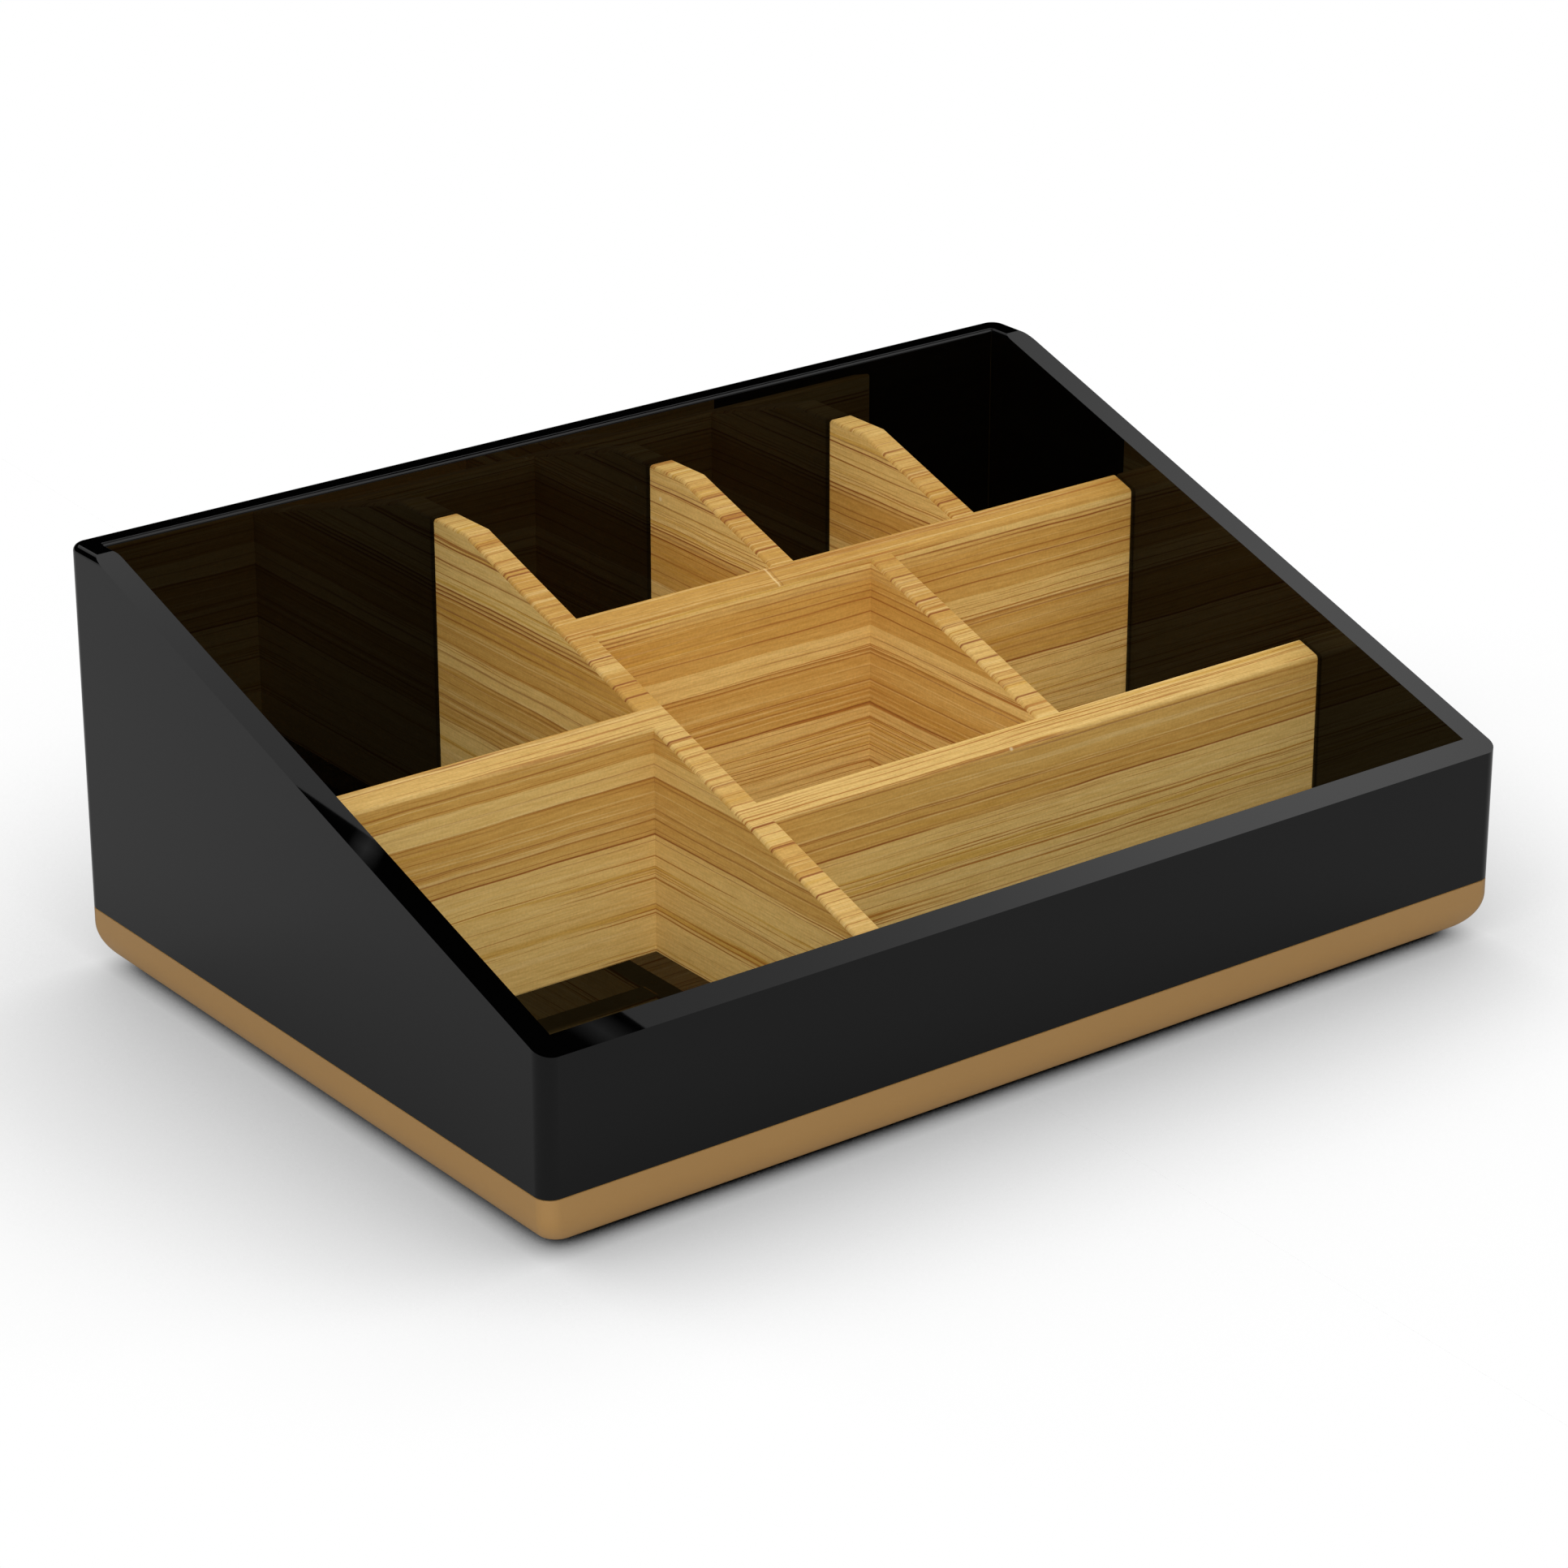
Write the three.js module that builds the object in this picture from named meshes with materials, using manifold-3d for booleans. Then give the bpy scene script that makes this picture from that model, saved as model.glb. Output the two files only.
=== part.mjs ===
// Makeup organizer: a gloss black tray with a slanted rim, seated in a tan base with a rounded bottom edge,
// and a lift-out grid of bamboo dividers, glued together with stub tongues, on a ledge in the tray.
// Millimetres, +Z up, +X to the right, +Y to the back. The origin is on the table, under the tray's middle.

import * as THREE from 'three';
import { mergeVertices } from 'three/addons/utils/BufferGeometryUtils.js';
import Module from 'manifold-3d';

// Tray, outside
const TRAY_WIDTH = 290;
const TRAY_DEPTH = 200;
const CORNER_RADIUS = 4.3;
const WALL = 6.6;

// Rim heights, measured up from the seam between tray and base
const FRONT_RIM = 35;
const BACK_RIM = 96;
const RIM_SLOPE_DEGREES = 18;
const RIM_OUTER_ROUND = 1.7;
const RIM_INNER_ROUND = 1;

// Base, with the stepped pocket that takes the tray's spigot
const BASE_HEIGHT = 15;
const BASE_ROUND = 11;
const BASE_FLOOR = 2.4;
const SPIGOT_WALL = 2.9;
const SPIGOT_CLEARANCE = 0.3;
const SPIGOT_CORNER_RADIUS = 0.6;
const SEAM_GAP = 0.3;

// Tray floor, and the ledge above it that carries the grid, with a screw post in each corner
const TRAY_FLOOR = 2.5;
const LEDGE_HEIGHT = 5.9;
const LEDGE_WIDTH = 4;
const LEDGE_THICKNESS = 2.9;
const LEDGE_WALL = 3.4;
const POST = 8.4;

// Feet, set in shallow recesses under the base
const FOOT_DIAMETER = 16;
const FOOT_THICKNESS = 2;
const FOOT_PROUD = 1;
const FOOT_EDGE_ROUND = 0.4;
const FOOT_CLEARANCE = 0.2;
const FOOT_INSET = 28;

// Screws, driven up through the base into the posts
const SCREW_DIAMETER = 3;
const SCREW_HEAD_DIAMETER = 6;
const SCREW_HEAD_HEIGHT = 1.2;
const SCREW_HEAD_SUNK = 0.3;
const SCREW_TIP_COVER = 2;
const SCREW_CLEARANCE = 0.2;
const DRIVE_SLOT_LENGTH = 3.2;
const DRIVE_SLOT_WIDTH = 0.8;
const DRIVE_SLOT_DEPTH = 0.7;

// Bamboo boards: the tops run parallel to the rim's slope, and level near the back wall
const BOARD = 7.6;
const BOARD_ROUND = 1.2;
const BOARD_BELOW_SLOPE = 11.3;
const BOARD_BELOW_BACK_RIM = 14.3;
const GRID_CLEARANCE = 0.35;

// Board centre lines, from the middle of the tray
const LONG_DIVIDER_X = -40.4;
const REAR_LEFT_SHORT_X = 26.9;
const REAR_RIGHT_SHORT_X = 86.1;
const MIDDLE_SHORT_X = 53.6;
const LEFT_CROSS_Y = 1.8;
const REAR_CROSS_Y = 37;
const FRONT_CROSS_Y = -36.95;

// Stub tongues that join one board's end to the next board's face
const TONGUE_THICKNESS = 3.6;
const TONGUE_LENGTH = 2.5;
const TONGUE_BELOW_TOP = 12;
const GLUE_GAP = 0.1;

// Gap between pieces that rest on each other
const SEAT_GAP = 0.1;

// Facets of round stretches
const CORNER_DIVISIONS = 3;
const ROUND_SEGMENTS = 4;
const BASE_ROUND_SEGMENTS = 8;
const TURNED_SEGMENTS = 32;

// Levels worked out from the sizes above
const baseBottom = FOOT_PROUD;
const baseTop = baseBottom + BASE_HEIGHT;
const pocketFloor = baseBottom + BASE_FLOOR;
const trayBottom = baseTop + SEAM_GAP;
const floorBottom = pocketFloor + SEAT_GAP;
const floorTop = floorBottom + TRAY_FLOOR;
const ledgeTop = floorTop + LEDGE_HEIGHT;
const spigotStep = ledgeTop - LEDGE_THICKNESS;
const backRimTop = baseTop + BACK_RIM;
const gridBottom = ledgeTop + SEAT_GAP;
const screwSeat = baseBottom + SCREW_HEAD_SUNK + SCREW_HEAD_HEIGHT;
const screwTip = ledgeTop - SCREW_TIP_COVER;

// Plan positions worked out from the sizes above
const insideX = TRAY_WIDTH / 2 - WALL;
const insideY = TRAY_DEPTH / 2 - WALL;
const ledgeX = insideX - LEDGE_WIDTH;
const ledgeY = insideY - LEDGE_WIDTH;
const upperSpigotInset = WALL - SPIGOT_WALL;
const lowerSpigotInset = WALL + LEDGE_WIDTH - LEDGE_WALL;
const rimSlope = Math.tan(THREE.MathUtils.degToRad(RIM_SLOPE_DEGREES));

// Longer than the whole part, for cutting tools that reach past it
const beyond = 2 * (TRAY_WIDTH + TRAY_DEPTH);

const wasm = await Module();
wasm.setup();

function toSolid(geometry) {
  const bare = geometry.clone();
  bare.deleteAttribute('normal');
  bare.deleteAttribute('uv');
  const merged = mergeVertices(bare);
  return new wasm.Manifold(new wasm.Mesh({
    numProp: 3,
    vertProperties: new Float32Array(merged.attributes.position.array),
    triVerts: new Uint32Array(merged.index.array),
  }));
}

function toGeometry(solid) {
  const mesh = solid.getMesh();
  const geometry = new THREE.BufferGeometry();
  geometry.setAttribute('position', new THREE.BufferAttribute(mesh.vertProperties, 3));
  geometry.setIndex(new THREE.BufferAttribute(mesh.triVerts, 1));
  geometry.computeVertexNormals();
  return geometry;
}

function boxSolid(box) {
  const size = box.getSize(new THREE.Vector3());
  const centre = box.getCenter(new THREE.Vector3());
  return toSolid(new THREE.BoxGeometry(size.x, size.y, size.z).translate(centre.x, centre.y, centre.z));
}

function box(x0, x1, y0, y1, z0, z1) {
  return new THREE.Box3(new THREE.Vector3(x0, y0, z0), new THREE.Vector3(x1, y1, z1));
}

function upright(diameter, x, y, bottom, top) {
  const height = top - bottom;
  const cylinder = new THREE.CylinderGeometry(diameter / 2, diameter / 2, height, TURNED_SEGMENTS);
  return toSolid(cylinder.rotateX(Math.PI / 2).translate(x, y, bottom + height / 2));
}

// Solid of revolution about +Z, from a profile of radius and height that starts and ends on the axis
function turned(profile, x, y) {
  return new THREE.LatheGeometry(profile, TURNED_SEGMENTS).rotateX(Math.PI / 2).translate(x, y, 0);
}

// Closed solid through rings of points, each ring at its own height
function loft(rings) {
  const count = rings[0].points.length;
  const positions = rings.flatMap(({ points, z }) => points.flatMap((point) => [point.x, point.y, z]));
  const cap = THREE.ShapeUtils.triangulateShape(rings[0].points, []);
  const last = (rings.length - 1) * count;
  const faces = cap.flatMap(([a, b, c]) => [c, b, a, last + a, last + b, last + c]);
  for (let ring = 0; ring < rings.length - 1; ring += 1) {
    for (let i = 0; i < count; i += 1) {
      const low = ring * count + i;
      const lowNext = ring * count + (i + 1) % count;
      faces.push(low, lowNext, lowNext + count, low, lowNext + count, low + count);
    }
  }
  const geometry = new THREE.BufferGeometry();
  geometry.setAttribute('position', new THREE.Float32BufferAttribute(positions, 3));
  geometry.setIndex(faces);
  return toSolid(geometry);
}

// The tray's plan outline, moved in by an inset
function trayOutline(inset, radius) {
  const x = TRAY_WIDTH / 2 - inset - radius;
  const y = TRAY_DEPTH / 2 - inset - radius;
  const outline = new THREE.Path();
  outline.absarc(x, y, radius, 0, Math.PI / 2);
  outline.absarc(-x, y, radius, Math.PI / 2, Math.PI);
  outline.absarc(-x, -y, radius, Math.PI, 1.5 * Math.PI);
  outline.absarc(x, -y, radius, 1.5 * Math.PI, 2 * Math.PI);
  return outline.getPoints(CORNER_DIVISIONS);
}

function rectangle(x, y) {
  return [[x, y], [-x, y], [-x, -y], [x, -y]].map(([px, py]) => new THREE.Vector2(px, py));
}

// Steps along a quarter round: how far it has moved across, and how far along
function quarterRound(radius, segments) {
  return Array.from({ length: segments + 1 }, (_, step) => {
    const angle = (step / segments) * (Math.PI / 2);
    return { across: radius * (1 - Math.cos(angle)), along: radius * Math.sin(angle) };
  });
}

// Places a profile drawn in y and z, and extruded along x from the given start
function placeAlongX(geometry, start) {
  const turn = new THREE.Matrix4().makeBasis(
    new THREE.Vector3(0, 1, 0),
    new THREE.Vector3(0, 0, 1),
    new THREE.Vector3(1, 0, 0),
  );
  return geometry.applyMatrix4(turn).translate(start, 0, 0);
}

function rimPlane(y) {
  return baseTop + FRONT_RIM + rimSlope * (y + TRAY_DEPTH / 2);
}

// Tray: outside with a rounded top edge, hollowed down to the ledge and the floor, cut to the slanted rim,
// with a stepped spigot below the seam

function trayOutside() {
  const roundStart = backRimTop - RIM_OUTER_ROUND;
  const top = quarterRound(RIM_OUTER_ROUND, ROUND_SEGMENTS).map(({ across, along }) => (
    { points: trayOutline(across, CORNER_RADIUS - across), z: roundStart + along }
  ));
  return loft([{ points: trayOutline(0, CORNER_RADIUS), z: trayBottom }, ...top]);
}

function trayCavity() {
  const roundStart = backRimTop - RIM_INNER_ROUND;
  const mouth = quarterRound(RIM_INNER_ROUND, ROUND_SEGMENTS).map(({ across, along }) => (
    { points: rectangle(insideX + across, insideY + across), z: roundStart + along }
  ));
  const below = { points: rectangle(insideX, insideY), z: ledgeTop };
  const above = { points: mouth.at(-1).points, z: backRimTop + WALL };
  return loft([below, ...mouth, above]);
}

// The space between floor and ledge, which leaves a post in each corner
function floorSpace() {
  const x = ledgeX - POST;
  const y = ledgeY - POST;
  const along = boxSolid(box(-ledgeX, ledgeX, -y, y, floorTop, ledgeTop + WALL));
  const across = boxSolid(box(-x, x, -ledgeY, ledgeY, floorTop, ledgeTop + WALL));
  return along.add(across);
}

function rimCut() {
  const profile = new THREE.Shape([
    new THREE.Vector2(-TRAY_DEPTH, rimPlane(-TRAY_DEPTH)),
    new THREE.Vector2(TRAY_DEPTH, rimPlane(TRAY_DEPTH)),
    new THREE.Vector2(TRAY_DEPTH, beyond),
    new THREE.Vector2(-TRAY_DEPTH, beyond),
  ]);
  const prism = new THREE.ExtrudeGeometry(profile, { depth: beyond, bevelEnabled: false });
  return toSolid(placeAlongX(prism, -beyond / 2));
}

function traySpigot() {
  const upper = trayOutline(upperSpigotInset, SPIGOT_CORNER_RADIUS);
  const lower = trayOutline(lowerSpigotInset, SPIGOT_CORNER_RADIUS);
  return loft([{ points: lower, z: floorBottom }, { points: lower, z: ledgeTop }])
    .add(loft([{ points: upper, z: spigotStep }, { points: upper, z: trayBottom + WALL }]));
}

const corners = [
  { side: 'front_left', x: -1, y: -1 },
  { side: 'front_right', x: 1, y: -1 },
  { side: 'rear_left', x: -1, y: 1 },
  { side: 'rear_right', x: 1, y: 1 },
];

const screwPlaces = corners.map(({ side, x, y }) => (
  { side, x: x * (ledgeX - POST / 2), y: y * (ledgeY - POST / 2) }
));

const footPlaces = corners.map(({ side, x, y }) => (
  { side, x: x * (TRAY_WIDTH / 2 - FOOT_INSET), y: y * (TRAY_DEPTH / 2 - FOOT_INSET) }
));

function outerShell() {
  let shell = trayOutside().add(traySpigot());
  shell = shell.subtract(trayCavity()).subtract(floorSpace()).subtract(rimCut());
  for (const { x, y } of screwPlaces) {
    const pilot = SCREW_DIAMETER + 2 * SCREW_CLEARANCE;
    shell = shell.subtract(upright(pilot, x, y, baseBottom, screwTip + SCREW_CLEARANCE));
  }
  return toGeometry(shell);
}

// Base: rounded below, with a pocket above and recesses for feet and screws below

function baseTray() {
  const round = Math.min(BASE_ROUND, BASE_HEIGHT);
  const below = quarterRound(round, BASE_ROUND_SEGMENTS).reverse().map(({ across, along }) => (
    { points: trayOutline(across, CORNER_RADIUS), z: baseBottom + round - along }
  ));
  const pocketRadius = SPIGOT_CORNER_RADIUS + SPIGOT_CLEARANCE;
  const upper = trayOutline(upperSpigotInset - SPIGOT_CLEARANCE, pocketRadius);
  const lower = trayOutline(lowerSpigotInset - SPIGOT_CLEARANCE, pocketRadius);
  const pocketStep = spigotStep - SPIGOT_CLEARANCE;
  const pocket = loft([{ points: lower, z: pocketFloor }, { points: lower, z: spigotStep }])
    .add(loft([{ points: upper, z: pocketStep }, { points: upper, z: baseTop + WALL }]));
  let base = loft([...below, { points: trayOutline(0, CORNER_RADIUS), z: baseTop }]).subtract(pocket);
  for (const { x, y } of footPlaces) {
    const recess = FOOT_DIAMETER + 2 * FOOT_CLEARANCE;
    const recessTop = baseBottom + FOOT_THICKNESS - FOOT_PROUD + SEAT_GAP;
    base = base.subtract(upright(recess, x, y, -FOOT_PROUD, recessTop));
  }
  for (const { x, y } of screwPlaces) {
    const headHole = SCREW_HEAD_DIAMETER + 2 * SCREW_CLEARANCE;
    const shankHole = SCREW_DIAMETER + 2 * SCREW_CLEARANCE;
    base = base.subtract(upright(headHole, x, y, -FOOT_PROUD, screwSeat + SEAT_GAP));
    base = base.subtract(upright(shankHole, x, y, -FOOT_PROUD, pocketFloor + WALL));
  }
  return toGeometry(base);
}

// Feet and screws

function foot({ x, y }) {
  const radius = FOOT_DIAMETER / 2;
  const edge = quarterRound(FOOT_EDGE_ROUND, ROUND_SEGMENTS).reverse().map(({ across, along }) => (
    new THREE.Vector2(radius - across, FOOT_EDGE_ROUND - along)
  ));
  const profile = [
    new THREE.Vector2(0, 0),
    ...edge,
    new THREE.Vector2(radius, FOOT_THICKNESS),
    new THREE.Vector2(0, FOOT_THICKNESS),
  ];
  return turned(profile, x, y);
}

function screw({ x, y }) {
  const headBottom = baseBottom + SCREW_HEAD_SUNK;
  const shank = SCREW_DIAMETER / 2;
  const head = SCREW_HEAD_DIAMETER / 2;
  const profile = [
    new THREE.Vector2(0, headBottom),
    new THREE.Vector2(head, headBottom),
    new THREE.Vector2(head, screwSeat),
    new THREE.Vector2(shank, screwSeat),
    new THREE.Vector2(shank, screwTip - shank),
    new THREE.Vector2(0, screwTip),
  ];
  const length = DRIVE_SLOT_LENGTH / 2;
  const width = DRIVE_SLOT_WIDTH / 2;
  const slotTop = headBottom + DRIVE_SLOT_DEPTH;
  const slotBottom = headBottom - DRIVE_SLOT_DEPTH;
  const slots = boxSolid(box(x - length, x + length, y - width, y + width, slotBottom, slotTop))
    .add(boxSolid(box(x - width, x + width, y - length, y + length, slotBottom, slotTop)));
  return toGeometry(toSolid(turned(profile, x, y)).subtract(slots));
}

// Divider grid

const gridX = insideX - GRID_CLEARANCE;
const gridY = insideY - GRID_CLEARANCE;
const half = BOARD / 2;
const levelTop = backRimTop - BOARD_BELOW_BACK_RIM;

function boardTop(y) {
  return Math.min(rimPlane(y) - BOARD_BELOW_SLOPE, levelTop);
}

// Outline of a board in y and z, from its bottom up over its top, with the knee where the slope turns level
function boardOutline(front, back, bottom) {
  const knee = -TRAY_DEPTH / 2 + (levelTop + BOARD_BELOW_SLOPE - baseTop - FRONT_RIM) / rimSlope;
  const points = [[front, bottom], [back, bottom], [back, boardTop(back)]];
  if (knee > front && knee < back) {
    points.push([knee, levelTop]);
  }
  points.push([front, boardTop(front)]);
  return points.map(([y, z]) => new THREE.Vector2(y, z));
}

// Closed shape whose upper corners, the third and the last, are rounded
function roundTopCorners(points, radius) {
  const shape = new THREE.Shape();
  shape.moveTo(points[0].x, points[0].y);
  points.forEach((corner, index) => {
    if (index !== 2 && index !== points.length - 1) {
      shape.lineTo(corner.x, corner.y);
      return;
    }
    const into = corner.clone().sub(points[index - 1]).normalize();
    const out = points[(index + 1) % points.length].clone().sub(corner).normalize();
    const turn = Math.acos(into.dot(out));
    const start = corner.clone().addScaledVector(into, -radius * Math.tan(turn / 2));
    const centre = new THREE.Vector2(start.x - into.y * radius, start.y + into.x * radius);
    const from = Math.atan2(start.y - centre.y, start.x - centre.x);
    shape.absarc(centre.x, centre.y, radius, from, from + turn);
  });
  return shape;
}

function boardAlongX(x0, x1, y) {
  const shape = roundTopCorners(boardOutline(y - half, y + half, gridBottom), BOARD_ROUND);
  const options = { depth: x1 - x0, bevelEnabled: false, curveSegments: ROUND_SEGMENTS / 2 };
  return toSolid(placeAlongX(new THREE.ExtrudeGeometry(shape, options), x0));
}

// The profile runs past the ends and the bottom, so that trimming leaves only the top edges rounded
function boardAlongY(x, y0, y1) {
  const spare = BOARD;
  const shape = new THREE.Shape(boardOutline(y0 - spare, y1 + spare, gridBottom - spare));
  const options = {
    depth: BOARD - 2 * BOARD_ROUND,
    bevelThickness: BOARD_ROUND,
    bevelSize: BOARD_ROUND,
    bevelOffset: -BOARD_ROUND,
    bevelSegments: ROUND_SEGMENTS,
  };
  const blank = toSolid(placeAlongX(new THREE.ExtrudeGeometry(shape, options), x - half + BOARD_ROUND));
  return blank.intersect(boxSolid(box(x - BOARD, x + BOARD, y0, y1, gridBottom, backRimTop)));
}

// A tongue reaches from inside its own board, past the shoulder, into the face of the next board
function tongueAlongX(face, toward, y) {
  const ends = [face - toward * TONGUE_LENGTH, face + toward * TONGUE_LENGTH];
  const side = TONGUE_THICKNESS / 2;
  const top = boardTop(y) - TONGUE_BELOW_TOP;
  return box(Math.min(...ends), Math.max(...ends), y - side, y + side, gridBottom, top);
}

function tongueAlongY(face, toward, x) {
  const ends = [face - toward * TONGUE_LENGTH, face + toward * TONGUE_LENGTH];
  const side = TONGUE_THICKNESS / 2;
  const top = boardTop(face) - TONGUE_BELOW_TOP;
  return box(x - side, x + side, Math.min(...ends), Math.max(...ends), gridBottom, top);
}

function withTongues(board, tongues) {
  return tongues.reduce((joined, tongue) => joined.add(boxSolid(tongue)), board);
}

// Grooves follow the tongues with the glue gap all round, and stay open below
function withGrooves(board, tongues) {
  return tongues.reduce((cut, tongue) => {
    const groove = tongue.clone().expandByScalar(GLUE_GAP);
    groove.min.z = gridBottom - BOARD;
    return cut.subtract(boxSolid(groove));
  }, board);
}

const longLeft = LONG_DIVIDER_X - half;
const longRight = LONG_DIVIDER_X + half;
const rearCrossFront = REAR_CROSS_Y - half;
const rearCrossBack = REAR_CROSS_Y + half;
const frontCrossBack = FRONT_CROSS_Y + half;

const tongues = {
  leftCross: tongueAlongX(longLeft, 1, LEFT_CROSS_Y),
  rearCross: tongueAlongX(longRight, -1, REAR_CROSS_Y),
  frontCross: tongueAlongX(longRight, -1, FRONT_CROSS_Y),
  rearLeftShort: tongueAlongY(rearCrossBack, -1, REAR_LEFT_SHORT_X),
  rearRightShort: tongueAlongY(rearCrossBack, -1, REAR_RIGHT_SHORT_X),
  middleShortRear: tongueAlongY(rearCrossFront, 1, MIDDLE_SHORT_X),
  middleShortFront: tongueAlongY(frontCrossBack, -1, MIDDLE_SHORT_X),
};

function longDivider() {
  const board = boardAlongY(LONG_DIVIDER_X, -gridY, gridY);
  return withGrooves(board, [tongues.leftCross, tongues.rearCross, tongues.frontCross]);
}

function leftCrossDivider() {
  const board = boardAlongX(-gridX, longLeft - GLUE_GAP, LEFT_CROSS_Y);
  return withTongues(board, [tongues.leftCross]);
}

function rearCrossDivider() {
  const board = boardAlongX(longRight + GLUE_GAP, gridX, REAR_CROSS_Y);
  const grooves = [tongues.rearLeftShort, tongues.rearRightShort, tongues.middleShortRear];
  return withGrooves(withTongues(board, [tongues.rearCross]), grooves);
}

function frontCrossDivider() {
  const board = boardAlongX(longRight + GLUE_GAP, gridX, FRONT_CROSS_Y);
  return withGrooves(withTongues(board, [tongues.frontCross]), [tongues.middleShortFront]);
}

function rearShortDivider(x, tongue) {
  return withTongues(boardAlongY(x, rearCrossBack + GLUE_GAP, gridY), [tongue]);
}

function middleShortDivider() {
  const board = boardAlongY(MIDDLE_SHORT_X, frontCrossBack + GLUE_GAP, rearCrossFront - GLUE_GAP);
  return withTongues(board, [tongues.middleShortRear, tongues.middleShortFront]);
}

// Assembly

const organizer = new THREE.Group();
organizer.name = 'makeup_organizer';

function place(parent, name, geometry, finish) {
  const mesh = new THREE.Mesh(geometry, new THREE.MeshStandardMaterial(finish));
  mesh.name = name;
  parent.add(mesh);
}

const glossBlack = { color: 0x1c1c1c, roughness: 0.12, metalness: 0 };
const satinTan = { color: 0x96733f, roughness: 0.45, metalness: 0 };
const bamboo = { color: 0xbe965a, roughness: 0.5, metalness: 0 };
const softRubber = { color: 0x2a2a2a, roughness: 0.9, metalness: 0 };
const zincSteel = { color: 0xb8babd, roughness: 0.35, metalness: 1 };

place(organizer, 'outer_shell', outerShell(), glossBlack);
place(organizer, 'base_tray', baseTray(), satinTan);
for (const spot of footPlaces) {
  place(organizer, `foot_${spot.side}`, foot(spot), softRubber);
}
for (const spot of screwPlaces) {
  place(organizer, `screw_${spot.side}`, screw(spot), zincSteel);
}

const dividerGrid = new THREE.Group();
dividerGrid.name = 'divider_grid';
organizer.add(dividerGrid);

const boards = {
  long_divider: longDivider(),
  left_cross_divider: leftCrossDivider(),
  rear_cross_divider: rearCrossDivider(),
  front_cross_divider: frontCrossDivider(),
  rear_left_short_divider: rearShortDivider(REAR_LEFT_SHORT_X, tongues.rearLeftShort),
  rear_right_short_divider: rearShortDivider(REAR_RIGHT_SHORT_X, tongues.rearRightShort),
  middle_short_divider: middleShortDivider(),
};
for (const [name, board] of Object.entries(boards)) {
  place(dividerGrid, name, toGeometry(board), bamboo);
}

export default organizer;
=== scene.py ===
# %% [markdown]
# # A makeup organizer, dressed for a studio picture
#
# The object is a gloss black tray with a slanted rim, seated in a tan base, with a lift-out grid of
# bamboo boards. Another program has already made the solids, at their real size. This script loads them
# as a frame that stays fixed, builds the visible pieces around it in metres, gives each one its finish,
# and sets up lamps and a camera.

from math import cos, pi, radians, sin, tan

import bmesh
import bpy
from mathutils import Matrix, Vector


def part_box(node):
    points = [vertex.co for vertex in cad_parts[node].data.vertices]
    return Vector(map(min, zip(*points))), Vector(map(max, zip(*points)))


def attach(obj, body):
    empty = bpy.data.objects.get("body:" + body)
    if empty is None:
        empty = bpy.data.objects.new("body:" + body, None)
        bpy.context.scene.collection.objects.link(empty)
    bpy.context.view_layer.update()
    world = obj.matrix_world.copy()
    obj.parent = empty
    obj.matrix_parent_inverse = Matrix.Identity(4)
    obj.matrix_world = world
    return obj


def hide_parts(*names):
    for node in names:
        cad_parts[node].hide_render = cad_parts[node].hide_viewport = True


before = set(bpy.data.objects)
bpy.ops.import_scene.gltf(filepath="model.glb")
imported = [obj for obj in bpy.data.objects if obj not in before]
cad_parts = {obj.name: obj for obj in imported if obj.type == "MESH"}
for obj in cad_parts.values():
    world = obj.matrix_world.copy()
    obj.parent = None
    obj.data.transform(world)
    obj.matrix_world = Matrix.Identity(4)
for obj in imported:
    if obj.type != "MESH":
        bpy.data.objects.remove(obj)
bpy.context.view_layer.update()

# %% [markdown]
# ## Sizes that the pieces share
#
# Every size could be typed where it is used, but then a change would have to be found in many places.
# Here the sizes that more than one piece needs come first, in millimetres, as they would stand on a
# drawing, and `mm` turns them into Blender's metres. Where a solid already knows a size, it is read from
# its box instead.

# %% Sizes
mm = 0.001
shell_low, shell_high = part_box("outer_shell")
base_low, base_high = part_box("base_tray")

half_width = shell_high[0]
half_depth = shell_high[1]
rim_top = shell_high[2]
base_bottom = base_low[2]
seam = base_high[2]
floor_bottom = shell_low[2]

corner_radius = 4.3 * mm
wall = 6.6 * mm
seam_line = 0.12 * mm
floor_thickness = 2.5 * mm
front_height = 35 * mm
front_rim = seam + front_height
rim_angle = radians(18)
rim_slope = tan(rim_angle)
print("outside %.0f x %.0f mm, rim at %.0f mm" % (2000 * half_width, 2000 * half_depth, 1000 * rim_top))

# %% [markdown]
# ## The camera
#
# The photo's long lens stands to the left of the low front and a little above. A camera could be aimed
# with a Track To constraint, but a fixed place and two angles are easier to read, and the other views
# start from them too.

# %% Camera
look_down = 23.178
look_right = 37.199
lens = bpy.data.cameras.new("studio_camera")
lens.lens = 114.27
lens.sensor_width = 36
camera = bpy.data.objects.new("studio_camera", lens)
camera.location = (-0.68867, -0.90299, 0.5312)
camera.rotation_euler = (radians(90 - look_down), 0, radians(-look_right))
bpy.context.scene.collection.objects.link(camera)
bpy.context.scene.camera = camera
print("camera %.2f m away" % camera.location.length)

# %% [markdown]
# ## Small helpers for node trees
#
# Finishes and repeated pieces are both node trees. Making a node, setting it and wiring it takes three
# lines each time, so one helper does all three. A keyword that is a number, colour or text sets an input,
# and one that is an output of another node is wired to it. The others stand for nodes that come up again
# and again.

# %% Node helpers
def plug(tree, socket, value):
    if isinstance(value, bpy.types.NodeSocket):
        tree.links.new(value, socket)
    else:
        socket.default_value = value


def add_node(tree, kind, settings=None, **inputs):
    node = tree.nodes.new(kind)
    for name, value in (settings or {}).items():
        setattr(node, name, value)
    for name, value in inputs.items():
        plug(tree, node.inputs[name.replace("_", " ")], value)
    return node


def math_node(tree, operation, *values, kind="ShaderNodeMath", result="Value"):
    node = add_node(tree, kind, {"operation": operation})
    for socket, value in zip(node.inputs, values):
        plug(tree, socket, value)
    return node.outputs[result]


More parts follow.
